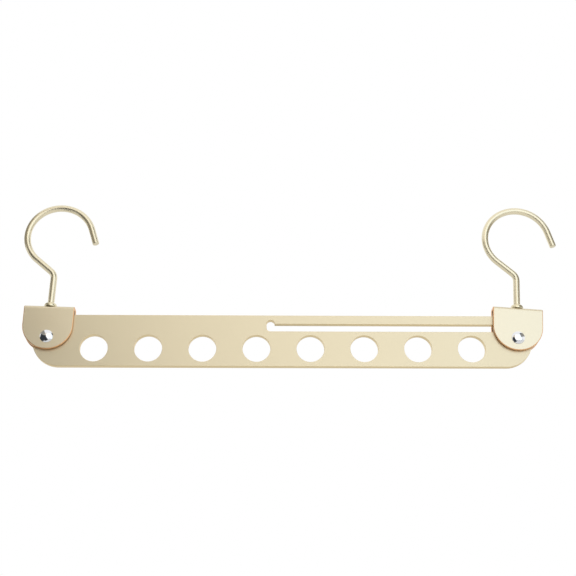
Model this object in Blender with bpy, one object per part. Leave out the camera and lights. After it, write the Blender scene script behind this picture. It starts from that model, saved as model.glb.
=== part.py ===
"""Folding multi-hole clothes hanger: a flat drilled bar, two forks riveted to it, a swivel hook on each.

Metres, +Z up, +X to the right as seen from the front, the front faces -Y. The origin is where a rail
carries the hanger: midway between the hooks, under the crown of an upright hook, in the bar's mid-plane.
"""
import math

import bmesh
import bpy
from mathutils import Vector

MM = 0.001

# Bar, from its lower edge upward and outward from its middle.
HOLE_COUNT = 8
HOLE_DIAMETER = 19.0 * MM
HOLE_SPACE = 17.7 * MM
END_MARGIN = 41.6 * MM
LOWER_WALL = 3.3 * MM
SLOT_WEB = 2.8 * MM
SLOT_HEIGHT = 5.2 * MM
UPPER_WALL = 6.3 * MM
BAR_THICKNESS = 4.0 * MM
LOWER_CORNER_RADIUS = 18.5 * MM
UPPER_CORNER_RADIUS = 12.0 * MM

# Slot, from the bar's middle to a hidden round end inside the right fork.
SLOT_START = 11.5 * MM
SLOT_END_INSET = 17.0 * MM
POCKET_RADIUS = 2.8 * MM

# Pivots, from the bar's end and from its upper edge.
PIVOT_INSET = 9.75 * MM
PIVOT_DROP = 16.4 * MM

# Forks: folded sheet with D-shaped cheeks. The leans are clockwise from upright, as photographed;
# the play in its hole lets each hook stand a degree off its fork, the left one further over and
# the right one straighter.
SHEET = 1.8 * MM
FORK_WIDTH = 34.3 * MM
CHEEK_DROP = 8.8 * MM
WEB_CLEARANCE = 4.0 * MM
FOLD_RADIUS = 0.3 * MM
LEFT_LEAN = math.radians(1.8)
LEFT_HOOK_PLAY = math.radians(1.0)
RIGHT_LEAN = math.radians(4.0)
RIGHT_HOOK_PLAY = math.radians(-1.0)

# Rivets and the thin spacers between the bar and the cheeks.
RIVET_DIAMETER = 4.6 * MM
RIVET_HEAD_DIAMETER = 8.9 * MM
RIVET_HEAD_HEIGHT = 1.6 * MM
RIVET_TAIL_DIAMETER = 7.2 * MM
RIVET_TAIL_HEIGHT = 1.1 * MM
SPACER_DIAMETER = 10.0 * MM
SPACER_THICKNESS = 0.6 * MM

# Hook: round wire, bent in one plane. Angles are the turns of each bend.
WIRE_DIAMETER = 4.6 * MM
STEM_HEIGHT = 21.2 * MM
NECK_RADIUS = 7.0 * MM
NECK_TURN = math.radians(51.7)
NECK_STRAIGHT = 13.5 * MM
NEAR_LOOP_RADIUS = 22.2 * MM
NEAR_LOOP_TURN = math.radians(107.9)
FAR_LOOP_RADIUS = 23.0 * MM
FAR_LOOP_TURN = math.radians(103.9)
TIP_STRAIGHT = 11.8 * MM
TIP_ROUNDING = 0.9 * MM

# The wire's foot: turned down to pass through the web, then peened over a washer under it.
SPIGOT_DIAMETER = 3.2 * MM
FOOT_DIAMETER = 4.8 * MM
FOOT_THICKNESS = 1.1 * MM
WASHER_DIAMETER = 5.4 * MM
WASHER_THICKNESS = 0.5 * MM

# Collar round the wire, on top of the web.
COLLAR_DIAMETER = 8.8 * MM
COLLAR_TOP_WALL = 0.8 * MM
COLLAR_HEIGHT = 2.7 * MM
COLLAR_LIP = 0.6 * MM

# Clearances: round a shaft, between flat faces, and past a face for a cut.
SHAFT_GAP = 0.1 * MM
FACE_GAP = 0.1 * MM
OVERRUN = 2.0 * MM

# Segments of round forms.
HOLE_STEPS = 36
CORNER_STEPS = 10
ROUND_STEPS = 32
WIRE_SIDES = 16
DEGREES_PER_BEND_STEP = 6.0
DOME_STEPS = 6

# Derived places, measured from a pivot or from the bar's middle.
PITCH = HOLE_DIAMETER + HOLE_SPACE
BAR_LENGTH = (HOLE_COUNT - 1) * PITCH + 2 * END_MARGIN
BAR_HEIGHT = LOWER_WALL + HOLE_DIAMETER + SLOT_WEB + SLOT_HEIGHT + UPPER_WALL
PIVOT_X = BAR_LENGTH / 2 - PIVOT_INSET
WEB_UNDERSIDE = PIVOT_DROP + WEB_CLEARANCE
WEB_TOP = WEB_UNDERSIDE + SHEET
SIDE_GAP = SPACER_THICKNESS + 2 * FACE_GAP
FORK_GAP = BAR_THICKNESS + 2 * SIDE_GAP
FORK_DEPTH = FORK_GAP + 2 * SHEET
RIVET_HOLE_RADIUS = RIVET_DIAMETER / 2 + SHAFT_GAP
COLLAR_BORE_RADIUS = WIRE_DIAMETER / 2 + SHAFT_GAP
WEB_HOLE_RADIUS = SPIGOT_DIAMETER / 2 + SHAFT_GAP
SHOULDER = WEB_TOP + FACE_GAP
WASHER_TOP = WEB_UNDERSIDE - FACE_GAP
FOOT_TOP = WASHER_TOP - WASHER_THICKNESS - FACE_GAP
FOOT_BOTTOM = FOOT_TOP - FOOT_THICKNESS

# Colours as linear values, with roughness and metallic.
CHAMPAGNE = ((0.78, 0.68, 0.48, 1.0), 0.38, 1.0)
CHROME = ((0.80, 0.80, 0.82, 1.0), 0.08, 1.0)
STEEL = ((0.55, 0.55, 0.56, 1.0), 0.30, 1.0)
NYLON = ((0.70, 0.68, 0.62, 1.0), 0.50, 0.0)


def clear_scene():
    for obj in list(bpy.data.objects):
        bpy.data.objects.remove(obj, do_unlink=True)


def make_material(name, look):
    colour, roughness, metallic = look
    mat = bpy.data.materials.new(name)
    mat.use_nodes = True
    shader = mat.node_tree.nodes["Principled BSDF"]
    shader.inputs["Base Color"].default_value = colour
    shader.inputs["Roughness"].default_value = roughness
    shader.inputs["Metallic"].default_value = metallic
    mat.diffuse_color = colour
    return mat


def add_object(name, mesh, mat=None, parent=None, location=(0, 0, 0)):
    obj = bpy.data.objects.new(name, mesh)
    bpy.context.collection.objects.link(obj)
    if mat is not None:
        mesh.materials.append(mat)
    obj.parent = parent
    obj.location = location
    return obj


def add_empty(name, location, parent=None, lean=0.0):
    empty = bpy.data.objects.new(name, None)
    bpy.context.collection.objects.link(empty)
    empty.parent = parent
    empty.location = location
    empty.rotation_euler = (0, lean, 0)
    return empty


def mesh_from(name, bm, smooth_below=None):
    bmesh.ops.recalc_face_normals(bm, faces=bm.faces[:])
    mesh = bpy.data.meshes.new(name)
    bm.to_mesh(mesh)
    bm.free()
    if smooth_below is not None:
        mesh.shade_smooth()
        mesh.set_sharp_from_angle(angle=smooth_below)
    return mesh


def arc(centre, radius, start, end, steps):
    """Points on an arc in the XZ plane, both ends included, angles in degrees from +X toward +Z."""
    points = []
    for i in range(steps + 1):
        angle = math.radians(start + (end - start) * i / steps)
        points.append((centre[0] + radius * math.cos(angle), centre[1] + radius * math.sin(angle)))
    return points


def circle(centre, radius, steps):
    """A closed ring whose lowest facet is level, so that what hangs in it has a flat seat."""
    half = 180.0 / steps
    return arc(centre, radius, -90 + half, 270 - half, steps - 1)


def prism(name, outline, holes, depth, smooth_below=None):
    """A plate in the XZ plane with through holes, centred on Y = 0."""
    bm = bmesh.new()
    edges = []
    for ring in [outline] + holes:
        verts = [bm.verts.new((x, -depth / 2, z)) for x, z in ring]
        for i, vert in enumerate(verts):
            edges.append(bm.edges.new((vert, verts[(i + 1) % len(verts)])))
    bmesh.ops.triangle_fill(bm, edges=edges, use_beauty=True)
    front = bm.faces[:]
    grown = bmesh.ops.extrude_face_region(bm, geom=front, use_keep_orig=True)
    moved = [item for item in grown["geom"] if isinstance(item, bmesh.types.BMVert)]
    bmesh.ops.translate(bm, verts=moved, vec=(0, depth, 0))
    return mesh_from(name, bm, smooth_below)


def lathe(name, profile, axis, steps=ROUND_STEPS):
    """Turns a profile of (radius, height) points; a zero radius closes an end, else it is a ring."""
    bm = bmesh.new()
    rings = []
    for radius, height in profile:
        count = 1 if radius == 0 else steps
        ring = []
        for i in range(count):
            angle = 2 * math.pi * i / steps
            flat = Vector((radius * math.cos(angle), radius * math.sin(angle), height))
            ring.append(bm.verts.new(flat if axis == "Z" else (flat.x, flat.z, flat.y)))
        rings.append(ring)
    closed = profile[0][0] > 0
    pairs = list(zip(rings, rings[1:]))
    if closed:
        pairs.append((rings[-1], rings[0]))
    for low, high in pairs:
        bridge(bm, low, high, steps)
    return mesh_from(name, bm, math.radians(35))


def bridge(bm, low, high, steps):
    """Joins two rings of a turned or swept form; either may be a single point."""
    for i in range(steps):
        j = (i + 1) % steps
        corners = [low[i % len(low)], low[j % len(low)], high[j % len(high)], high[i % len(high)]]
        face = []
        for vert in corners:
            if vert not in face:
                face.append(vert)
        bm.faces.new(face)


def hook_line():
    """The wire's mid-line from its foot to its tip: (x, z, heading) above the pivot, in the hook's plane."""
    z = FOOT_BOTTOM
    x = 0.0
    heading = math.pi / 2
    line = [(x, z, heading)]
    moves = [
        ("straight", WEB_TOP + STEM_HEIGHT - FOOT_BOTTOM, 0.0),
        ("bend", NECK_RADIUS, NECK_TURN),
        ("straight", NECK_STRAIGHT, 0.0),
        ("bend", NEAR_LOOP_RADIUS, -NEAR_LOOP_TURN),
        ("bend", FAR_LOOP_RADIUS, -FAR_LOOP_TURN),
        ("straight", TIP_STRAIGHT, 0.0),
    ]
    for kind, size, turn in moves:
        if kind == "straight":
            x += size * math.cos(heading)
            z += size * math.sin(heading)
            line.append((x, z, heading))
            continue
        side = math.copysign(1.0, turn)
        centre_x = x - side * size * math.sin(heading)
        centre_z = z + side * size * math.cos(heading)
        steps = max(2, round(abs(math.degrees(turn)) / DEGREES_PER_BEND_STEP))
        for i in range(1, steps + 1):
            along = heading + turn * i / steps
            x = centre_x + side * size * math.sin(along)
            z = centre_z - side * size * math.cos(along)
            line.append((x, z, along))
        heading += turn
    return line


def hook_mesh(name):
    """Sweeps a round section up the mid-line, with the peened foot below and a rounded tip."""
    wire = WIRE_DIAMETER / 2
    foot = FOOT_DIAMETER / 2
    line = hook_line()
    rings = [(0.0, FOOT_BOTTOM, math.pi / 2, foot * 0.8)]
    rings.append((0.0, FOOT_BOTTOM + FOOT_THICKNESS / 3, math.pi / 2, foot))
    rings.append((0.0, FOOT_TOP, math.pi / 2, foot))
    rings.append((0.0, FOOT_TOP, math.pi / 2, SPIGOT_DIAMETER / 2))
    rings.append((0.0, SHOULDER, math.pi / 2, SPIGOT_DIAMETER / 2))
    rings.append((0.0, SHOULDER, math.pi / 2, wire))
    rings += [(x, z, heading, wire) for x, z, heading in line[1:-1]]
    tip_x, tip_z, heading = line[-1]
    for i in range(DOME_STEPS):
        angle = math.pi / 2 * i / (DOME_STEPS - 1)
        back = TIP_ROUNDING * (1 - math.sin(angle))
        radius = wire - TIP_ROUNDING * (1 - math.cos(angle))
        rings.append((tip_x - back * math.cos(heading), tip_z - back * math.sin(heading), heading, radius))
    bm = bmesh.new()
    loops = [[bm.verts.new((0, 0, FOOT_BOTTOM))]]
    for x, z, heading, radius in rings:
        across = Vector((math.sin(heading), 0, -math.cos(heading)))
        ring = []
        for i in range(WIRE_SIDES):
            angle = 2 * math.pi * i / WIRE_SIDES
            spoke = across * math.cos(angle) + Vector((0, math.sin(angle), 0))
            ring.append(bm.verts.new(Vector((x, 0, z)) + spoke * radius))
        loops.append(ring)
    loops.append([bm.verts.new((tip_x, 0, tip_z))])
    for low, high in zip(loops, loops[1:]):
        bridge(bm, low, high, WIRE_SIDES)
    return mesh_from(name, bm, math.radians(40))


def bar_outline():
    right = BAR_LENGTH / 2
    low = LOWER_CORNER_RADIUS
    high = UPPER_CORNER_RADIUS
    points = arc((right - low, low), low, -90, 0, CORNER_STEPS)
    points += arc((right - high, BAR_HEIGHT - high), high, 0, 90, CORNER_STEPS)
    points += arc((high - right, BAR_HEIGHT - high), high, 90, 180, CORNER_STEPS)
    points += arc((low - right, low), low, 180, 270, CORNER_STEPS)
    return points


def slot_outline():
    """The slot with its left end raised into a round pocket."""
    floor = LOWER_WALL + HOLE_DIAMETER + SLOT_WEB
    half = SLOT_HEIGHT / 2
    ceiling = floor + SLOT_HEIGHT
    right = BAR_LENGTH / 2 - SLOT_END_INSET
    left = -SLOT_START
    points = arc((right - half, floor + half), half, -90, 90, CORNER_STEPS)
    points += arc((left + POCKET_RADIUS, ceiling), POCKET_RADIUS, 0, 180, CORNER_STEPS)
    points += arc((left + half, floor + half), half, 180, 270, CORNER_STEPS)
    return points


def build_bar(mat):
    rings = []
    for i in range(HOLE_COUNT):
        x = (i - (HOLE_COUNT - 1) / 2) * PITCH
        rings.append(circle((x, LOWER_WALL + HOLE_DIAMETER / 2), HOLE_DIAMETER / 2, HOLE_STEPS))
    rings.append(slot_outline())
    for side in (-1, 1):
        rings.append(circle((side * PIVOT_X, BAR_HEIGHT - PIVOT_DROP), RIVET_HOLE_RADIUS, ROUND_STEPS))
    mesh = prism("bar", bar_outline(), rings, BAR_THICKNESS, math.radians(35))
    return add_object("bar", mesh, mat, location=(0, 0, PIVOT_Z + PIVOT_DROP - BAR_HEIGHT))


def fork_section():
    """Half-closed section of the folded sheet across the bar: the outside, then back along the inside."""
    outer = FOLD_RADIUS + SHEET
    half = FORK_DEPTH / 2
    gap = FORK_GAP / 2
    foot = -CHEEK_DROP - OVERRUN
    points = [(-half, foot)]
    points += arc((outer - half, WEB_TOP - outer), outer, 180, 90, CORNER_STEPS)
    points += arc((half - outer, WEB_TOP - outer), outer, 90, 0, CORNER_STEPS)
    points += [(half, foot), (gap, foot)]
    points += arc((gap - FOLD_RADIUS, WEB_UNDERSIDE - FOLD_RADIUS), FOLD_RADIUS, 0, 90, CORNER_STEPS)
    points += arc((FOLD_RADIUS - gap, WEB_UNDERSIDE - FOLD_RADIUS), FOLD_RADIUS, 90, 180, CORNER_STEPS)
    points.append((-gap, foot))
    return points


def add_cutter(name, mesh, parent, operation, target):
    cutter = add_object(name, mesh, parent=parent)
    cutter.hide_render = True
    cutter.display_type = "WIRE"
    modifier = target.modifiers.new(name, "BOOLEAN")
    modifier.operation = operation
    modifier.solver = "EXACT"
    modifier.object = cutter
    return cutter


def build_fork(side, pivot, mat):
    """Folds the sheet, trims both cheeks to the D outline and drills the rivet and hook holes."""
    name = side + "_bracket"
    width = FORK_WIDTH + 2 * OVERRUN
    mesh = prism(name, fork_section(), [], width, math.radians(35))
    for vert in mesh.vertices:
        x, y, z = vert.co
        vert.co = (-y, x, z)
    fork = add_object(name, mesh, mat, pivot)
    radius = FORK_WIDTH / 2
    outline = arc((0, radius - CHEEK_DROP), radius, 180, 360, 2 * CORNER_STEPS + 8)
    outline += [(radius, WEB_TOP + OVERRUN), (-radius, WEB_TOP + OVERRUN)]
    trim = prism(name + "_trim", outline, [], FORK_DEPTH + 2 * OVERRUN)
    add_cutter(name + "_trim", trim, pivot, "INTERSECT", fork)
    reach = FORK_DEPTH / 2 + OVERRUN
    drill = [(0, -reach), (RIVET_HOLE_RADIUS, -reach), (RIVET_HOLE_RADIUS, reach), (0, reach)]
    add_cutter(name + "_rivet_drill", lathe(name + "_rivet_drill", drill, "Y"), pivot, "DIFFERENCE", fork)
    low = WEB_UNDERSIDE - OVERRUN
    high = WEB_TOP + OVERRUN
    drill = [(0, low), (WEB_HOLE_RADIUS, low), (WEB_HOLE_RADIUS, high), (0, high)]
    add_cutter(name + "_hook_drill", lathe(name + "_hook_drill", drill, "Z"), pivot, "DIFFERENCE", fork)
    return fork


def build_rivet(side, pivot, mat):
    """Domed head at the front, shank through both cheeks and the bar, formed tail at the back."""
    shank = RIVET_DIAMETER / 2
    head = RIVET_HEAD_DIAMETER / 2
    tail = RIVET_TAIL_DIAMETER / 2
    seat = FORK_DEPTH / 2 + FACE_GAP
    profile = []
    for i in range(DOME_STEPS + 1):
        angle = math.pi / 2 * i / DOME_STEPS
        profile.append((head * math.sin(angle), -seat - RIVET_HEAD_HEIGHT * math.cos(angle)))
    profile += [(shank, -seat), (shank, seat)]
    for i in range(DOME_STEPS + 1):
        angle = math.pi / 2 * i / DOME_STEPS
        profile.append((tail * math.cos(angle), seat + RIVET_TAIL_HEIGHT * math.sin(angle)))
    profile[0] = (0, profile[0][1])
    profile[-1] = (0, profile[-1][1])
    return add_object(side + "_rivet", lathe(side + "_rivet", profile, "Y"), mat, pivot)


def build_spacers(side, pivot, mat):
    inner = RIVET_HOLE_RADIUS
    outer = SPACER_DIAMETER / 2
    for face, sign in (("front", -1), ("back", 1)):
        near = BAR_THICKNESS / 2 + FACE_GAP
        far = near + SPACER_THICKNESS
        profile = [(inner, sign * near), (outer, sign * near), (outer, sign * far), (inner, sign * far)]
        name = side + "_" + face + "_spacer"
        add_object(name, lathe(name, profile, "Y"), mat, pivot)


def build_collar(side, pivot, mat):
    """A flared ring pressed on the wire, its flat base on the web."""
    top = COLLAR_BORE_RADIUS + COLLAR_TOP_WALL
    flare = COLLAR_DIAMETER / 2 - top
    rise = COLLAR_HEIGHT - COLLAR_LIP
    profile = [(COLLAR_BORE_RADIUS, SHOULDER), (top + flare, SHOULDER)]
    for i in range(DOME_STEPS + 1):
        angle = math.pi / 2 * i / DOME_STEPS
        profile.append((top + flare * math.cos(angle), SHOULDER + COLLAR_LIP + rise * math.sin(angle)))
    profile.append((COLLAR_BORE_RADIUS, SHOULDER + COLLAR_HEIGHT))
    return add_object(side + "_hook_collar", lathe(side + "_hook_collar", profile, "Z"), mat, pivot)


def build_washer(side, pivot, mat):
    outer = WASHER_DIAMETER / 2
    low = WASHER_TOP - WASHER_THICKNESS
    profile = [(WEB_HOLE_RADIUS, low), (outer, low), (outer, WASHER_TOP), (WEB_HOLE_RADIUS, WASHER_TOP)]
    return add_object(side + "_hook_washer", lathe(side + "_hook_washer", profile, "Z"), mat, pivot)


def add_hook_axis(side, pivot, play):
    """The hook's own upright, turned by its play about the middle of the web."""
    middle = WEB_UNDERSIDE + SHEET / 2
    place = (-middle * math.sin(play), 0, middle - middle * math.cos(play))
    return add_empty(side + "_hook_axis", place, pivot, play)


# The rail's seat under the crown fixes the height of the pivots.
CROWN_SEAT = max(z for x, z, heading in hook_line()) - WIRE_DIAMETER / 2
PIVOT_Z = -CROWN_SEAT

clear_scene()
gold = make_material("champagne_aluminium", CHAMPAGNE)
chrome = make_material("polished_rivet", CHROME)
steel = make_material("plain_steel", STEEL)
nylon = make_material("nylon", NYLON)

build_bar(gold)
left_end = ("left", -1, LEFT_LEAN, LEFT_HOOK_PLAY)
right_end = ("right", 1, RIGHT_LEAN, RIGHT_HOOK_PLAY)
for side_name, sign, lean_angle, play_angle in (left_end, right_end):
    pivot_empty = add_empty(side_name + "_pivot", (sign * PIVOT_X, 0, PIVOT_Z), lean=lean_angle)
    build_fork(side_name, pivot_empty, gold)
    build_rivet(side_name, pivot_empty, chrome)
    build_spacers(side_name, pivot_empty, nylon)
    build_washer(side_name, pivot_empty, steel)
    axis_empty = add_hook_axis(side_name, pivot_empty, play_angle)
    build_collar(side_name, axis_empty, gold)
    add_object(side_name + "_hook", hook_mesh(side_name + "_hook"), gold, axis_empty)
bpy.context.view_layer.update()
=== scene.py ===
"""Looks of the folding multi-hole hanger: a drilled bar, two folded brackets, two swivel hooks."""
import math

import bmesh
import bpy
from mathutils import Matrix, Vector


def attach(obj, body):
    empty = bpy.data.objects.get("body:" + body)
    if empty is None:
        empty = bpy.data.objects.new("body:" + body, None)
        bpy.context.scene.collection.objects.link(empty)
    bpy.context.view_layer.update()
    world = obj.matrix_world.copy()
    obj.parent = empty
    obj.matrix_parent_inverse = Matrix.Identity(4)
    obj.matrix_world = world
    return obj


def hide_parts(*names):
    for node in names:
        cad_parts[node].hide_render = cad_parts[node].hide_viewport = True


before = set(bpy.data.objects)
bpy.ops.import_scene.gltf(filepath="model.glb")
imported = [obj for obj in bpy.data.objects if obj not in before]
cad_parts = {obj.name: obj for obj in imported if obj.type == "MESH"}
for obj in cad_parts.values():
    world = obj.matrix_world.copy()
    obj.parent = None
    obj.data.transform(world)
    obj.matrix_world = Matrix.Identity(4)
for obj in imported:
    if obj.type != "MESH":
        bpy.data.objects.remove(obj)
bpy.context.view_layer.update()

MM = 0.001
TURN = 2 * math.pi
RIGHT_ANGLE = math.pi / 2
MERGE = 1e-7

# The bar, from its lower edge upward and from its middle outward.
BAR_LENGTH = 340.1 * MM
BAR_HEIGHT = 36.6 * MM
BAR_THICKNESS = 4.0 * MM
LOWER_CORNER = 18.5 * MM
UPPER_CORNER = 12.0 * MM
HOLES = 8
PITCH = 36.7 * MM
HOLE_RADIUS = 9.5 * MM
LOWER_WALL = 3.3 * MM
HOLE_HEIGHT = LOWER_WALL + HOLE_RADIUS
SLOT_WEB = 2.8 * MM
SLOT_HEIGHT = 5.2 * MM
SLOT_FLOOR = HOLE_HEIGHT + HOLE_RADIUS + SLOT_WEB
SLOT_CEILING = SLOT_FLOOR + SLOT_HEIGHT
SLOT_END_INSET = 17.0 * MM
SLOT_LEFT = -11.5 * MM
SLOT_RIGHT = BAR_LENGTH / 2 - SLOT_END_INSET
POCKET_RADIUS = 2.8 * MM
PIVOT_INSET = 9.75 * MM
PIVOT_DROP = 16.4 * MM
PIVOT_X = BAR_LENGTH / 2 - PIVOT_INSET
PIVOT_HEIGHT = BAR_HEIGHT - PIVOT_DROP
PIVOT_Z = -94.689 * MM

# Clearance between neighbours, and the rings that fill it.
GAP = 0.1 * MM
SPACER_RADIUS = 5.0 * MM
SPACER_THICKNESS = 0.6 * MM
WASHER_RADIUS = 2.7 * MM
WASHER_THICKNESS = 0.5 * MM

# Bracket sheet, from the pivot upward, its leans, and how far each hook stands off its bracket's lean.
SHEET = 1.8 * MM
HALF_WIDTH = 17.15 * MM
CHEEK_DROP = 8.8 * MM
HALF_DEPTH = BAR_THICKNESS / 2 + SPACER_THICKNESS + 2 * GAP + SHEET
WEB_UNDERSIDE = 20.4 * MM
WEB_TOP = WEB_UNDERSIDE + SHEET
INNER_FOLD = 0.3 * MM
FOLD_MIDDLE = INNER_FOLD + SHEET / 2
FLAT_WEB = HALF_DEPTH - SHEET - INNER_FOLD
FOLD_LENGTH = FOLD_MIDDLE * RIGHT_ANGLE
LEANS = {"left": math.radians(1.8), "right": math.radians(4.0)}
HOOK_PLAYS = {"left": math.radians(1.0), "right": math.radians(-1.0)}

# Rivet.
SHAFT_HOLE = 2.4 * MM
SHANK = 2.3 * MM
HEAD_RADIUS = 4.45 * MM
HEAD_HEIGHT = 1.6 * MM
TAIL_RADIUS = 3.6 * MM
TAIL_HEIGHT = 1.1 * MM

# Hook: its radii, its peened foot and its collar.
WIRE = 2.3 * MM
SPIGOT = 1.6 * MM
WEB_HOLE = 1.7 * MM
FOOT = 2.4 * MM
FOOT_TOP = WEB_UNDERSIDE - WASHER_THICKNESS - 2 * GAP
FOOT_HEIGHT = 1.1 * MM
FOOT_END = 0.8 * FOOT
FOOT_ROUND = ((0.15 * MM, 0.93 * FOOT), (0.2 * MM, FOOT))
COLLAR_RADIUS = 4.4 * MM
COLLAR_NECK = 3.2 * MM
COLLAR_HEIGHT = 2.7 * MM
COLLAR_LIP = 0.6 * MM

# The hook's mid-line above the web: straights, and bends in degrees, clockwise as the front shows them.
STEM = 21.2 * MM
NECK_RADIUS = 7.0 * MM
NECK_BEND = -51.7
NECK_STRAIGHT = 13.5 * MM
NEAR_LOOP_RADIUS = 22.2 * MM
NEAR_LOOP_BEND = 107.9
FAR_LOOP_RADIUS = 23.0 * MM
FAR_LOOP_BEND = 103.9
TIP_STRAIGHT = 11.8 * MM

# How far the edges are rounded.
BAR_EDGE = 0.2 * MM
HOLE_EDGE = 0.12 * MM
PIN_HOLE_EDGE = 0.1 * MM
SHEET_EDGE = 0.5 * MM
RIVET_EDGE = 0.12 * MM
RING_EDGE = 0.08 * MM
COLLAR_EDGE = 0.25 * MM
SHOULDER_EDGE = 0.15 * MM
TIP_EDGE = 0.9 * MM

# The photograph's view.
LENS = 79.0142
CAMERA_PLACE = (-0.020627, -0.817021, -0.373779)
CAMERA_TURN = (111.1682, 0.3344, -1.5542)

# The three softboxes stand in one plane before the hanger, at one height.
BOX_DEPTH = -1.05
BOX_RISE = 0.30

# Cards are dark and cool, or dim and warm.
COOL = (0.75, 0.85, 1.0, 1)
WARM = (1, 0.95, 0.85, 1)
DARK = 0.05
AHEAD = (0, 1, 0)


def add_object(name, bm):
    """Turns a bmesh into an object of the scene."""
    mesh = bpy.data.meshes.new(name)
    bm.to_mesh(mesh)
    bm.free()
    obj = bpy.data.objects.new(name, mesh)
    bpy.context.scene.collection.objects.link(obj)
    return obj


def piece(name, bm, body, solid, finishes, place):
    """Turns a bmesh into a smooth piece in its place, riding on its body and standing for its solid."""
    for face in bm.faces:
        face.smooth = True
    obj = add_object(name, bm)
    obj.data.transform(place)
    for finish in finishes:
        obj.data.materials.append(finish)
    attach(obj, body)
    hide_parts(solid)


class Pen:
    """Draws one closed outline in a plane Y = depth with extruded lines and spun arcs."""

    def __init__(self, bm, x, z, depth):
        self.bm = bm
        self.depth = depth
        self.start = bm.verts.new((x, depth, z))
        self.tip = self.start

    def line(self, x, z):
        made = bmesh.ops.extrude_vert_indiv(self.bm, verts=[self.tip])
        self.tip = made["verts"][0]
        self.tip.co = (x, self.depth, z)

    def arc(self, x, z, clockwise, steps):
        """Spins the tip round (x, z) by an angle in degrees, clockwise as the front shows it."""
        made = bmesh.ops.spin(
            self.bm, geom=[self.tip], cent=(x, self.depth, z), axis=(0, 1, 0),
            angle=math.radians(clockwise), steps=steps, use_merge=False,
        )
        self.tip = [item for item in made["geom_last"] if isinstance(item, bmesh.types.BMVert)][0]

    def close(self):
        self.bm.edges.new((self.tip, self.start))


def add_outline(bm, draw, back, depth):
    """Draws one outline on a sheet of its own, lays it into the plate and gives its edges there."""
    sheet = bmesh.new()
    draw(sheet, back, depth)
    bmesh.ops.remove_doubles(sheet, verts=sheet.verts[:], dist=MERGE)
    mesh = bpy.data.meshes.new("outline")
    sheet.to_mesh(mesh)
    sheet.free()
    first = len(bm.edges)
    bm.from_mesh(mesh)
    bpy.data.meshes.remove(mesh)
    bm.edges.ensure_lookup_table()
    return bm.edges[first:]


def rim_steps(rounding, thickness, steps=4):
    """How far an edge is drawn back from full size, and at what depth, across a rounded sheet edge."""
    half = thickness / 2
    rows = []
    for i in range(steps + 1):
        angle = RIGHT_ANGLE * i / steps
        rows.append((rounding * (1 - math.sin(angle)), rounding * (1 - math.cos(angle)) - half))
    return rows + [(back, -depth) for back, depth in reversed(rows)]


def plate(outlines, thickness):
    """A flat plate: each outline is drawn at every step of its rounding and joined, both faces filled."""
    bm = bmesh.new()
    front, back = [], []
    for draw, rounding in outlines:
        loops = [add_outline(bm, draw, inset, depth) for inset, depth in rim_steps(rounding, thickness)]
        for near, far in zip(loops, loops[1:]):
            bmesh.ops.bridge_loops(bm, edges=near + far)
        front += loops[0]
        back += loops[-1]
    for edges in (front, back):
        for edge in edges:
            edge.smooth = False
        bmesh.ops.triangle_fill(bm, edges=edges, use_beauty=True, use_dissolve=False)
    bmesh.ops.recalc_face_normals(bm, faces=bm.faces[:])
    return bm


def finish_walls(bm, back_finish):
    """Gives the front face the first finish, the rims and bores the second, and the back the one named."""
    for face in bm.faces:
        if abs(face.normal.y) < 0.999:
            face.material_index = 1
        elif face.normal.y > 0:
            face.material_index = back_finish


def round_hole(x, z, radius, steps):
    def draw(bm, back, depth):
        spot = Matrix.Translation((x, depth, z)) @ Matrix.Rotation(RIGHT_ANGLE, 4, "X")
        bmesh.ops.create_circle(bm, segments=steps, radius=radius + back, matrix=spot)
    return draw


def rounded_box(half, bottom, top, low_corner, high_corner, steps=24):
    """An outline with its own radius at the lower and the upper corners."""
    def draw(bm, back, depth):
        side = half - back
        low = bottom + back
        high = top - back
        pen = Pen(bm, half - low_corner, low, depth)
        pen.arc(half - low_corner, bottom + low_corner, -90, steps)
        pen.line(side, top - high_corner)
        pen.arc(half - high_corner, top - high_corner, -90, steps)
        pen.line(high_corner - half, high)
        pen.arc(high_corner - half, top - high_corner, -90, steps)
        pen.line(-side, bottom + low_corner)
        pen.arc(low_corner - half, bottom + low_corner, -90, steps)
        pen.close()
    return draw


def slot_outline(bm, back, depth):
    """The long slot with its left end raised into a round pocket; back makes an opening larger."""
    half = SLOT_HEIGHT / 2
    middle = SLOT_FLOOR + half
    reach = POCKET_RADIUS + back
    lift = math.degrees(math.asin(back / reach))
    corner = SLOT_LEFT + POCKET_RADIUS
    pen = Pen(bm, SLOT_LEFT + half, SLOT_FLOOR - back, depth)
    pen.arc(SLOT_LEFT + half, middle, 90, 20)
    pen.line(SLOT_LEFT - back, SLOT_CEILING)
    pen.arc(corner, SLOT_CEILING, 180 - lift, 32)
    pen.line(SLOT_RIGHT - half, SLOT_CEILING + back)
    pen.arc(SLOT_RIGHT - half, middle, 180, 32)
    pen.close()


def make_bar(finishes):
    outlines = [
        (rounded_box(BAR_LENGTH / 2, 0.0, BAR_HEIGHT, LOWER_CORNER, UPPER_CORNER), BAR_EDGE),
        (slot_outline, BAR_EDGE),
    ]
    for i in range(HOLES):
        across = (i - (HOLES - 1) / 2) * PITCH
        outlines.append((round_hole(across, HOLE_HEIGHT, HOLE_RADIUS, 96), HOLE_EDGE))
    for side in (-1, 1):
        outlines.append((round_hole(side * PIVOT_X, PIVOT_HEIGHT, SHAFT_HOLE, 48), PIN_HOLE_EDGE))
    bm = plate(outlines, BAR_THICKNESS)
    finish_walls(bm, 0)
    place = Matrix.Translation((0, 0, PIVOT_Z - PIVOT_HEIGHT))
    piece("flat_bar", bm, "bar", "bar", finishes, place)


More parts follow.
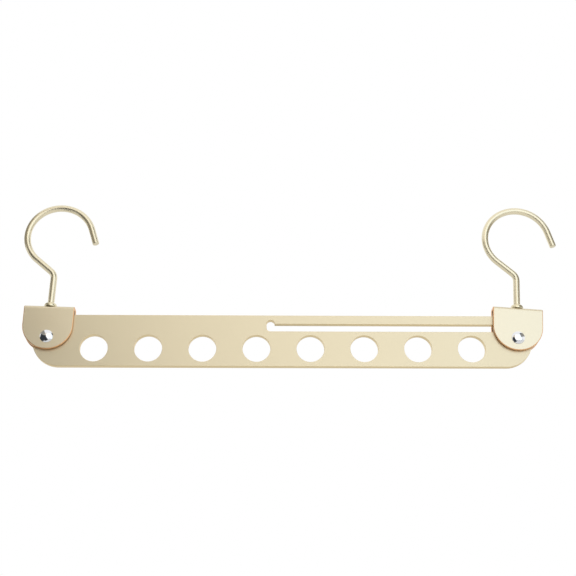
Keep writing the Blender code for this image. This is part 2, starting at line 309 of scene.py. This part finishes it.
def fold(bm):
    """Bends a flat blank, drawn in X and Z about its middle, down over the bar as a fork."""
    centre_z = WEB_UNDERSIDE - INNER_FOLD
    for vert in bm.verts:
        along = abs(vert.co.z)
        side = math.copysign(1.0, vert.co.z)
        out = FOLD_MIDDLE - vert.co.y
        if along <= FLAT_WEB:
            depth, height = along, centre_z + out
        elif along <= FLAT_WEB + FOLD_LENGTH:
            angle = (along - FLAT_WEB) / FOLD_MIDDLE
            depth = FLAT_WEB + out * math.sin(angle)
            height = centre_z + out * math.cos(angle)
        else:
            depth, height = FLAT_WEB + out, centre_z - (along - FLAT_WEB - FOLD_LENGTH)
        vert.co = (vert.co.x, side * depth, height)


def score_folds(bm, steps=10):
    """Cuts the blank across each fold, and keeps a crisp line where a fold begins and ends."""
    for way in (-1, 1):
        for i in range(steps + 1):
            height = way * (FLAT_WEB + FOLD_LENGTH * i / steps)
            cut = bmesh.ops.bisect_plane(
                bm, geom=bm.verts[:] + bm.edges[:] + bm.faces[:], dist=MERGE,
                plane_co=(0, 0, height), plane_no=(0, 0, 1),
            )
            if i in (0, steps):
                for item in cut["geom_cut"]:
                    if isinstance(item, bmesh.types.BMEdge):
                        item.smooth = False


def make_bracket(side, place, finishes):
    """Cuts the blank, scores it across each fold, bends it and sets it over its pivot."""
    pivot = FLAT_WEB + FOLD_LENGTH + WEB_UNDERSIDE - INNER_FOLD
    end = pivot + CHEEK_DROP
    outlines = [
        (rounded_box(HALF_WIDTH, -end, end, HALF_WIDTH, HALF_WIDTH, 40), SHEET_EDGE),
        (round_hole(0.0, 0.0, WEB_HOLE, 40), PIN_HOLE_EDGE),
        (round_hole(0.0, pivot, SHAFT_HOLE, 48), PIN_HOLE_EDGE),
        (round_hole(0.0, -pivot, SHAFT_HOLE, 48), PIN_HOLE_EDGE),
    ]
    bm = plate(outlines, SHEET)
    finish_walls(bm, 2)
    score_folds(bm)
    fold(bm)
    bmesh.ops.recalc_face_normals(bm, faces=bm.faces[:])
    bracket = side + "_bracket"
    piece(side + "_folded_bracket", bm, bracket, bracket, finishes, place)


def turned(profile, axis, steps=64):
    """Spins a profile of (radius, height) points round an axis; sharp corners keep a crisp edge."""
    bm = bmesh.new()
    verts = []
    for radius, height in profile:
        spot = (radius, 0, height) if axis == "Z" else (radius, height, 0)
        verts.append(bm.verts.new(spot))
    edges = [bm.edges.new(pair) for pair in zip(verts, verts[1:])]
    turn = (0, 0, 1) if axis == "Z" else (0, 1, 0)
    bmesh.ops.spin(
        bm, geom=verts + edges, cent=(0, 0, 0), axis=turn, angle=TURN, steps=steps, use_merge=True,
    )
    bmesh.ops.remove_doubles(bm, verts=bm.verts[:], dist=MERGE)
    bmesh.ops.recalc_face_normals(bm, faces=bm.faces[:])
    for edge in bm.edges:
        if len(edge.link_faces) == 2 and edge.calc_face_angle() > math.radians(32):
            edge.smooth = False
    return bm


def arc_points(centre_r, centre_h, across, up, start, end, steps):
    """Points of an elliptic arc, in degrees from the outward direction."""
    points = []
    for i in range(steps + 1):
        angle = math.radians(start + (end - start) * i / steps)
        points.append((centre_r + across * math.cos(angle), centre_h + up * math.sin(angle)))
    return points


def make_rivet(side, place, finishes):
    seat = HALF_DEPTH + GAP
    rise = HEAD_HEIGHT - 2 * RIVET_EDGE
    ball = (HEAD_RADIUS ** 2 + rise ** 2) / (2 * rise)
    edge = math.degrees(math.acos(HEAD_RADIUS / ball))
    dome = arc_points(0.0, seat + HEAD_HEIGHT - ball, ball, ball, 90, edge, 20)
    profile = [(radius, -height) for radius, height in dome]
    profile[0] = (0.0, -seat - HEAD_HEIGHT)
    profile.append((HEAD_RADIUS, -seat - RIVET_EDGE))
    profile += [(HEAD_RADIUS - RIVET_EDGE, -seat), (SHANK, -seat), (SHANK, seat)]
    profile.append((TAIL_RADIUS - RIVET_EDGE, seat))
    profile += arc_points(0.0, seat + RIVET_EDGE, TAIL_RADIUS, TAIL_HEIGHT - RIVET_EDGE, 0, 90, 14)
    profile[-1] = (0.0, seat + TAIL_HEIGHT)
    bm = turned(profile, "Y")
    piece(side + "_domed_rivet", bm, side + "_bracket", side + "_rivet", finishes, place)


def ring_profile(inner, outer, low, high):
    """A flat ring with its four corners a little rounded."""
    points = []
    for centre_r, centre_h, start in (
        (outer - RING_EDGE, low + RING_EDGE, -90), (outer - RING_EDGE, high - RING_EDGE, 0),
        (inner + RING_EDGE, high - RING_EDGE, 90), (inner + RING_EDGE, low + RING_EDGE, 180),
    ):
        points += arc_points(centre_r, centre_h, RING_EDGE, RING_EDGE, start, start + 90, 3)
    points.append(points[0])
    return points


def make_rings(side, place, nylon, steel):
    """The spacers in front of the bar and behind it, and the washer under the bracket's web."""
    bracket = side + "_bracket"
    for face, sign in (("front", -1), ("back", 1)):
        near = sign * (BAR_THICKNESS / 2 + GAP)
        far = near + sign * SPACER_THICKNESS
        bm = turned(ring_profile(SHAFT_HOLE, SPACER_RADIUS, min(near, far), max(near, far)), "Y")
        name = side + "_" + face
        piece(name + "_nylon_spacer", bm, bracket, name + "_spacer", [nylon], place)
    top = WEB_UNDERSIDE - GAP
    bm = turned(ring_profile(WEB_HOLE, WASHER_RADIUS, top - WASHER_THICKNESS, top), "Z", 48)
    piece(side + "_steel_washer", bm, bracket, side + "_hook_washer", [steel], place)


def make_collar(side, place, finishes):
    base = WEB_TOP + GAP
    top = base + COLLAR_HEIGHT
    bore = WIRE + GAP
    edge = COLLAR_EDGE
    lip = COLLAR_RADIUS - edge
    flare = COLLAR_RADIUS - COLLAR_NECK
    profile = [(bore, base), (lip, base)]
    profile += arc_points(lip, base + edge, edge, edge, -90, 0, 4)[1:]
    profile += arc_points(COLLAR_NECK, base + COLLAR_LIP, flare, COLLAR_HEIGHT - COLLAR_LIP, 0, 80, 12)
    profile += [(COLLAR_NECK, top), (bore + edge, top)]
    profile += arc_points(bore + edge, top - edge, edge, edge, 90, 180, 4)[1:]
    profile.append(profile[0])
    bm = turned(profile, "Z")
    hook = side + "_hook"
    piece(side + "_flared_collar", bm, hook, hook + "_collar", finishes, place)


class Wire:
    """Draws a ring of edges up a bent mid-line in the plane Y = 0, straight by straight, bend by bend."""

    def __init__(self, bm, height, radius, sides):
        self.bm = bm
        self.spot = Vector((0, 0, height))
        self.heading = RIGHT_ANGLE
        self.radius = radius
        self.length = 0.0
        made = bmesh.ops.create_circle(bm, cap_ends=True, radius=radius, segments=sides)
        bmesh.ops.translate(bm, verts=made["verts"], vec=self.spot)
        self.ring = bm.edges[:]
        self.crisp()
        self.stations = [(self.spot.copy(), self.heading, 0.0)]

    def ahead(self):
        return Vector((math.cos(self.heading), 0, math.sin(self.heading)))

    def crisp(self):
        for edge in self.ring:
            edge.smooth = False

    def mark(self):
        self.stations.append((self.spot.copy(), self.heading, self.length))

    def run(self, length, radius=None):
        """A straight, or a cone where a new radius is given."""
        made = bmesh.ops.extrude_edge_only(self.bm, edges=self.ring)
        verts = [g for g in made["geom"] if isinstance(g, bmesh.types.BMVert)]
        self.ring = [
            g for g in made["geom"]
            if isinstance(g, bmesh.types.BMEdge) and all(v in verts for v in g.verts)
        ]
        if radius is not None:
            share = radius / self.radius
            for vert in verts:
                vert.co = self.spot + (vert.co - self.spot) * share
            self.radius = radius
        bmesh.ops.translate(self.bm, verts=verts, vec=self.ahead() * length)
        self.spot += self.ahead() * length
        self.length += length
        self.mark()

    def bend(self, radius, clockwise, steps):
        """A bend by an angle in degrees, clockwise as the front shows it."""
        side = math.copysign(1.0, clockwise)
        across = Vector((math.sin(self.heading), 0, -math.cos(self.heading)))
        centre = self.spot + across * (side * radius)
        verts = list({v for e in self.ring for v in e.verts})
        made = bmesh.ops.spin(
            self.bm, geom=self.ring + verts, cent=centre, axis=(0, 1, 0),
            angle=math.radians(clockwise), steps=steps, use_merge=False,
        )
        self.ring = [g for g in made["geom_last"] if isinstance(g, bmesh.types.BMEdge)]
        turn = math.radians(clockwise)
        for i in range(1, steps + 1):
            heading = self.heading - turn * i / steps
            across = Vector((math.sin(heading), 0, -math.cos(heading)))
            self.stations.append((centre - across * (side * radius), heading,
                                  self.length + abs(turn) * radius * i / steps))
        self.heading -= turn
        self.length += abs(turn) * radius
        self.spot = self.stations[-1][0].copy()

    def cap(self):
        self.crisp()
        bmesh.ops.contextual_create(self.bm, geom=self.ring)


def wrap_wire(bm, stations):
    """A UV map that runs along the wire and round it, in metres, for its drawn lines."""
    layer = bm.loops.layers.uv.new("drawn")
    spots = {}
    for vert in bm.verts:
        place, heading, length = min(stations, key=lambda s: (s[0] - vert.co).length_squared)
        out = vert.co - place
        across = Vector((math.sin(heading), 0, -math.cos(heading)))
        spots[vert] = (length + out.dot(Vector((math.cos(heading), 0, math.sin(heading)))),
                       math.atan2(out.y, out.dot(across)))
    for face in bm.faces:
        rounds = [spots[loop.vert][1] for loop in face.loops]
        wraps = max(rounds) - min(rounds) > math.pi
        for loop in face.loops:
            length, angle = spots[loop.vert]
            if wraps and angle < 0:
                angle += TURN
            loop[layer].uv = (length, angle * WIRE)


def make_hook(side, place, finishes):
    """Foot, spigot, shoulder, stem, neck, two loop radii and the cut tip, all one wire."""
    bm = bmesh.new()
    wire = Wire(bm, FOOT_TOP - FOOT_HEIGHT, FOOT_END, 48)
    for rise, radius in FOOT_ROUND:
        wire.run(rise, radius)
    wire.run(FOOT_HEIGHT - sum(rise for rise, radius in FOOT_ROUND))
    wire.crisp()
    wire.run(0.0, SPIGOT)
    wire.crisp()
    wire.run(WEB_TOP + GAP - FOOT_TOP)
    wire.crisp()
    wire.run(0.0, WIRE - SHOULDER_EDGE)
    wire.run(SHOULDER_EDGE, WIRE)
    wire.run(STEM - GAP - SHOULDER_EDGE)
    wire.bend(NECK_RADIUS, NECK_BEND, 20)
    wire.run(NECK_STRAIGHT)
    wire.bend(NEAR_LOOP_RADIUS, NEAR_LOOP_BEND, 48)
    wire.bend(FAR_LOOP_RADIUS, FAR_LOOP_BEND, 46)
    wire.run(TIP_STRAIGHT - TIP_EDGE)
    steps = 6
    for i in range(steps):
        before = RIGHT_ANGLE * i / steps
        after = RIGHT_ANGLE * (i + 1) / steps
        rise = TIP_EDGE * (math.sin(after) - math.sin(before))
        wire.run(rise, WIRE - TIP_EDGE * (1 - math.cos(after)))
    wire.cap()
    bmesh.ops.recalc_face_normals(bm, faces=bm.faces[:])
    wrap_wire(bm, wire.stations)
    hook = side + "_hook"
    piece(side + "_wire_hook", bm, hook, hook, finishes, place)


class Value:
    """A shader socket on which Python sums work: each operator adds its Math node."""

    def __init__(self, nodes, socket):
        self.nodes = nodes
        self.socket = socket

    def _sum(self, operation, first, second):
        return self.nodes.node("ShaderNodeMath", {"operation": operation}, {0: first, 1: second})

    def __add__(self, other):
        return self._sum("ADD", self, other)

    def __radd__(self, other):
        return self._sum("ADD", other, self)

    def __mul__(self, other):
        return self._sum("MULTIPLY", self, other)

    def __rmul__(self, other):
        return self._sum("MULTIPLY", other, self)


class Nodes:
    """A node tree, to which one method adds every node."""

    def __init__(self, tree):
        self.tree = tree

    def node(self, kind, settings, sockets, output=0):
        """Adds a node, sets it, then gives its sockets their values or links."""
        made = self.tree.nodes.new(kind)
        for name, value in settings.items():
            setattr(made, name, value)
        for socket, value in sockets.items():
            self.feed(made.inputs[socket], value)
        if made.outputs:
            return Value(self, made.outputs[output])

    def feed(self, socket, value):
        if isinstance(value, Value):
            self.tree.links.new(value.socket, socket)
        else:
            socket.default_value = value

    def tone(self, share, first, second):
        return self.node("ShaderNodeMix", {"data_type": "RGBA"}, {0: share, 6: first, 7: second}, 2)


class Finish(Nodes):
    """One material; values and sums feed the Principled shader's own sockets."""

    def __init__(self, name, **fixed):
        self.material = bpy.data.materials.new(name)
        self.material.use_nodes = True
        super().__init__(self.material.node_tree)
        self.shader = self.tree.nodes["Principled BSDF"]
        for socket, value in fixed.items():
            self.surface(socket.replace("_", " "), value)

    def surface(self, socket, value):
        self.feed(self.shader.inputs[socket], value)

    def place(self, scale=(1, 1, 1), source="Object"):
        spot = self.node("ShaderNodeTexCoord", {}, {}, source)
        return self.node("ShaderNodeMapping", {"vector_type": "POINT"}, {"Vector": spot, "Scale": scale})

    def noise(self, where, scale, detail=2.0, roughness=0.5):
        return self.node("ShaderNodeTexNoise", {}, {
            "Vector": where, "Scale": scale, "Detail": detail, "Roughness": roughness,
        })

    def bump(self, height, distance, strength):
        return self.node("ShaderNodeBump", {}, {
            "Height": height, "Distance": distance, "Strength": strength,
        })


def anodised(name, coat, coat_roughness):
    """Metal under the clear layer that anodising leaves."""
    return Finish(name, Metallic=1.0, Coat_Weight=coat, Coat_Roughness=coat_roughness, Coat_IOR=1.6)


def satin_bar():
    """Champagne anodised extrusion: bead-blasted grain over faint lines along its length."""
    f = anodised("bar_satin_champagne", 0.15, 0.35)
    cloud = f.noise(f.place(), 38.0, 3.0)
    grain = f.noise(f.place(), 5200.0, 2.0, 0.6)
    lines = f.noise(f.place((6.0, 1.0, 1400.0)), 1.0, 3.0, 0.6)
    f.surface("Base Color", f.tone(cloud, (0.728, 0.636, 0.440, 1), (0.758, 0.662, 0.464, 1)))
    f.surface("Roughness", 0.36 + cloud * 0.05 + grain * 0.06 + lines * 0.03)
    f.surface("Normal", f.bump(grain * 0.7 + lines * 0.3, 0.02 * MM, 0.5))
    return f.material


def cut_edge():
    """The bar's sawn, drilled and milled walls, anodised with it: fine cross marks, and a deeper, warmer
    tone that is painted shade on these walls.
    """
    f = anodised("bar_cut_champagne", 0.2, 0.3)
    marks = f.noise(f.place((900.0, 60.0, 900.0)), 1.0, 2.0, 0.6)
    grain = f.noise(f.place(), 4200.0, 2.0)
    f.surface("Base Color", f.tone(marks, (0.73, 0.58, 0.31, 1), (0.77, 0.62, 0.35, 1)))
    f.surface("Roughness", 0.30 + marks * 0.08 + grain * 0.05)
    f.surface("Normal", f.bump(marks * 0.6 + grain * 0.4, 0.02 * MM, 0.5))
    return f.material


def satin_sheet():
    """Bracket sheet: a finer, closer satin than the bar's."""
    f = anodised("bracket_satin_champagne", 0.25, 0.22)
    cloud = f.noise(f.place(), 60.0, 3.0)
    grain = f.noise(f.place(), 6500.0, 2.0, 0.6)
    f.surface("Base Color", f.tone(cloud, (0.713, 0.629, 0.448, 1), (0.742, 0.657, 0.475, 1)))
    f.surface("Roughness", 0.24 + cloud * 0.05 + grain * 0.06)
    f.surface("Normal", f.bump(grain, 0.015 * MM, 0.4))
    return f.material


def sheared_edge():
    """The bracket sheet's sheared rim, painted a deep orange for the warm light that bounces between the
    cheeks and the bar.
    """
    f = anodised("bracket_edge_champagne", 0.1, 0.25)
    marks = f.noise(f.place((1500.0, 1500.0, 200.0)), 1.0, 2.0)
    f.surface("Base Color", f.tone(marks, (0.76, 0.43, 0.20, 1), (0.84, 0.51, 0.27, 1)))
    f.surface("Roughness", 0.30 + marks * 0.1)
    f.surface("Normal", f.bump(marks, 0.01 * MM, 0.4))
    return f.material


def folded_side():
    """The bracket's inner side, paler and a little rosy where the dye hardly took."""
    f = anodised("bracket_inner_champagne", 0.1, 0.3)
    cloud = f.noise(f.place(), 120.0, 3.0)
    grain = f.noise(f.place(), 6500.0, 2.0, 0.6)
    f.surface("Base Color", f.tone(cloud, (0.84, 0.74, 0.67, 1), (0.88, 0.79, 0.72, 1)))
    f.surface("Roughness", 0.30 + cloud * 0.06 + grain * 0.06)
    f.surface("Normal", f.bump(grain, 0.015 * MM, 0.4))
    return f.material


def drawn_wire():
    """Bright anodised wire with drawing lines along it."""
    f = anodised("hook_bright_champagne", 0.5, 0.12)
    lines = f.noise(f.place((30.0, 5200.0, 1.0), "UV"), 1.0, 3.0, 0.6)
    cloud = f.noise(f.place(), 90.0, 2.0)
    f.surface("Base Color", f.tone(cloud, (0.78, 0.70, 0.49, 1), (0.83, 0.75, 0.55, 1)))
    f.surface("Roughness", 0.24 + lines * 0.08 + cloud * 0.04)
    f.surface("Normal", f.bump(lines, 0.01 * MM, 0.15))
    return f.material


def turned_collar():
    """The collars: the hooks' tone with fine turning rings."""
    f = anodised("collar_bright_champagne", 0.5, 0.15)
    rings = f.noise(f.place((60.0, 60.0, 5000.0)), 1.0, 2.0)
    cloud = f.noise(f.place(), 300.0, 2.0)
    f.surface("Base Color", f.tone(cloud, (0.76, 0.68, 0.46, 1), (0.82, 0.74, 0.52, 1)))
    f.surface("Roughness", 0.18 + rings * 0.12)
    f.surface("Normal", f.bump(rings, 0.01 * MM, 0.5))
    return f.material


def chrome():
    """Polished rivets with hairline scuffs."""
    f = Finish("rivet_polished", Metallic=1.0)
    scuffs = f.noise(f.place((900.0, 200.0, 5200.0)), 1.0, 4.0, 0.65)
    cloud = f.noise(f.place(), 500.0, 2.0)
    f.surface("Base Color", f.tone(cloud, (0.80, 0.81, 0.84, 1), (0.88, 0.89, 0.91, 1)))
    f.surface("Roughness", 0.05 + scuffs * 0.08)
    f.surface("Normal", f.bump(scuffs, 0.004 * MM, 0.5))
    return f.material


def plain_steel():
    """Washers: bare steel with turning rings."""
    f = Finish("washer_plain_steel", Metallic=1.0)
    rings = f.noise(f.place((400.0, 400.0, 3000.0)), 1.0, 3.0)
    f.surface("Base Color", f.tone(rings, (0.50, 0.50, 0.51, 1), (0.60, 0.60, 0.61, 1)))
    f.surface("Roughness", 0.25 + rings * 0.15)
    f.surface("Normal", f.bump(rings, 0.01 * MM, 0.4))
    return f.material


def natural_nylon():
    """Spacers: undyed nylon, faintly mottled."""
    f = Finish("spacer_natural_nylon", Specular_IOR_Level=0.45)
    mottle = f.noise(f.place(), 900.0, 3.0)
    f.surface("Base Color", f.tone(mottle, (0.60, 0.56, 0.47, 1), (0.70, 0.66, 0.56, 1)))
    f.surface("Roughness", 0.42 + mottle * 0.15)
    f.surface("Normal", f.bump(mottle, 0.01 * MM, 0.4))
    return f.material


def stage_card(name, centre, normal, width, height, colour=COOL, strength=DARK, tilt=0.0):
    """A card out of the camera's sight that only reflections see, tilted in its own plane."""
    bm = bmesh.new()
    bmesh.ops.create_grid(bm, x_segments=1, y_segments=1, size=0.5)
    bmesh.ops.scale(bm, verts=bm.verts[:], vec=(width, height, 1))
    card = add_object(name, bm)
    facing = Vector(normal).to_track_quat("Z", "Y").to_matrix().to_4x4()
    card.matrix_world = Matrix.Translation(centre) @ facing @ Matrix.Rotation(math.radians(tilt), 4, "Z")
    material = bpy.data.materials.new(name)
    material.use_nodes = True
    material.node_tree.nodes.clear()
    nodes = Nodes(material.node_tree)
    glow = nodes.node("ShaderNodeEmission", {}, {"Color": colour, "Strength": strength})
    nodes.node("ShaderNodeOutputMaterial", {}, {"Surface": glow})
    card.data.materials.append(material)
    card.visible_camera = False
    card.visible_diffuse = False


def softbox(name, centre, width, height, radiance, colour=(1, 1, 1)):
    """An area lamp that faces the hanger's plane squarely and whose face has the given radiance."""
    data = bpy.data.lights.new(name, "AREA")
    data.shape = "RECTANGLE"
    data.size = width
    data.size_y = height
    data.energy = radiance * math.pi * width * height
    data.color = colour
    lamp = bpy.data.objects.new(name, data)
    bpy.context.scene.collection.objects.link(lamp)
    lamp.location = centre
    lamp.rotation_mode = "QUATERNION"
    lamp.rotation_quaternion = Vector(AHEAD).to_track_quat("-Z", "Y")
    lamp.visible_camera = False


def make_floor():
    bm = bmesh.new()
    bmesh.ops.create_grid(bm, x_segments=1, y_segments=1, size=30.0)
    bmesh.ops.translate(bm, verts=bm.verts[:], vec=(0, 0, -1.2))
    floor = add_object("floor", bm)
    f = Finish("floor_pale", Specular_IOR_Level=0.1)
    mottle = f.noise(f.place(), 3.0, 2.0)
    f.surface("Base Color", f.tone(mottle, (0.80, 0.80, 0.79, 1), (0.83, 0.83, 0.82, 1)))
    f.surface("Roughness", 0.8 + mottle * 0.1)
    floor.data.materials.append(f.material)


def make_world():
    """White wherever the camera or a reflection looks past everything; a softer level on matt surfaces."""
    world = bpy.data.worlds.new("studio")
    bpy.context.scene.world = world
    world.use_nodes = True
    world.node_tree.nodes.clear()
    room = Nodes(world.node_tree)
    direct = 0.0
    for ray in ("Is Camera Ray", "Is Glossy Ray", "Is Transmission Ray"):
        seen = room.node("ShaderNodeLightPath", {}, {}, ray)
        direct = room.node("ShaderNodeMath", {"operation": "MAXIMUM"}, {0: direct, 1: seen})
    shade = room.tone(direct, (0.95, 0.95, 0.95, 1), (1.0, 1.0, 1.0, 1))
    back = room.node("ShaderNodeBackground", {}, {"Color": shade})
    room.node("ShaderNodeOutputWorld", {}, {"Surface": back})


def make_camera():
    data = bpy.data.cameras.new("photo_view")
    data.sensor_width = 36.0
    data.lens = LENS
    data.clip_start = 0.01
    data.clip_end = 60.0
    camera = bpy.data.objects.new("photo_view", data)
    bpy.context.scene.collection.objects.link(camera)
    camera.location = CAMERA_PLACE
    camera.rotation_euler = [math.radians(angle) for angle in CAMERA_TURN]
    bpy.context.scene.camera = camera


make_camera()
make_world()
make_floor()
softbox("left_softbox", (-0.65, BOX_DEPTH, BOX_RISE), 0.70, 1.3, 0.76, (1.0, 0.88, 0.72))
softbox("front_softbox", (0.0, BOX_DEPTH, BOX_RISE), 0.60, 1.3, 1.30)
softbox("right_softbox", (0.75, BOX_DEPTH, BOX_RISE), 0.90, 1.3, 1.35, (0.87, 0.94, 1.0))
softbox("right_spot", (0.42, -1.0, 0.28), 0.30, 0.30, 0.35, (0.35, 0.5, 1.0))
stage_card("front_backdrop", (0.125, -1.10, 0.30), AHEAD, 2.35, 1.40)
stage_card("left_gobo", (-0.665, -0.97, 0.0), AHEAD, 0.50, 0.70)
stage_card("slant_gobo", (-0.49, -0.98, -0.23), AHEAD, 0.63, 1.10, tilt=-29.4)
stage_card("left_near_card", (-0.205, -0.0442, -0.1083), (0.75, 0.65, 0.1), 0.06, 0.048)
stage_card("left_flag", (-0.27, -0.085, 0.065), (1, 0, 0), 0.31, 0.165, WARM, 0.30)
stage_card("left_low_flag", (-0.27, -0.105, -0.046), (1, 0, 0), 0.12, 0.055)
stage_card("right_flag", (0.2815, -0.0405, 0.017), (-1, 0, 0), 0.27, 0.105, WARM, 0.32)
stage_card("high_flag", (1.15, -0.62, 0.95), (-0.56, 0.42, -0.71), 0.80, 0.75)

bar_finishes = [satin_bar(), cut_edge()]
sheet_finishes = [satin_sheet(), sheared_edge(), folded_side()]
wire_finish = drawn_wire()
collar_finish = turned_collar()
rivet_finish = chrome()
washer_finish = plain_steel()
spacer_finish = natural_nylon()

make_bar(bar_finishes)
for side, way in (("left", -1), ("right", 1)):
    pivot = Matrix.Translation((way * PIVOT_X, 0, PIVOT_Z)) @ Matrix.Rotation(LEANS[side], 4, "Y")
    web_middle = Matrix.Translation((0, 0, WEB_TOP - SHEET / 2))
    upright = pivot @ web_middle @ Matrix.Rotation(HOOK_PLAYS[side], 4, "Y") @ web_middle.inverted()
    make_bracket(side, pivot, sheet_finishes)
    make_rivet(side, pivot, [rivet_finish])
    make_rings(side, pivot, spacer_finish, washer_finish)
    make_collar(side, upright, [collar_finish])
    make_hook(side, upright, [wire_finish])

bpy.context.scene.view_settings.view_transform = "Standard"
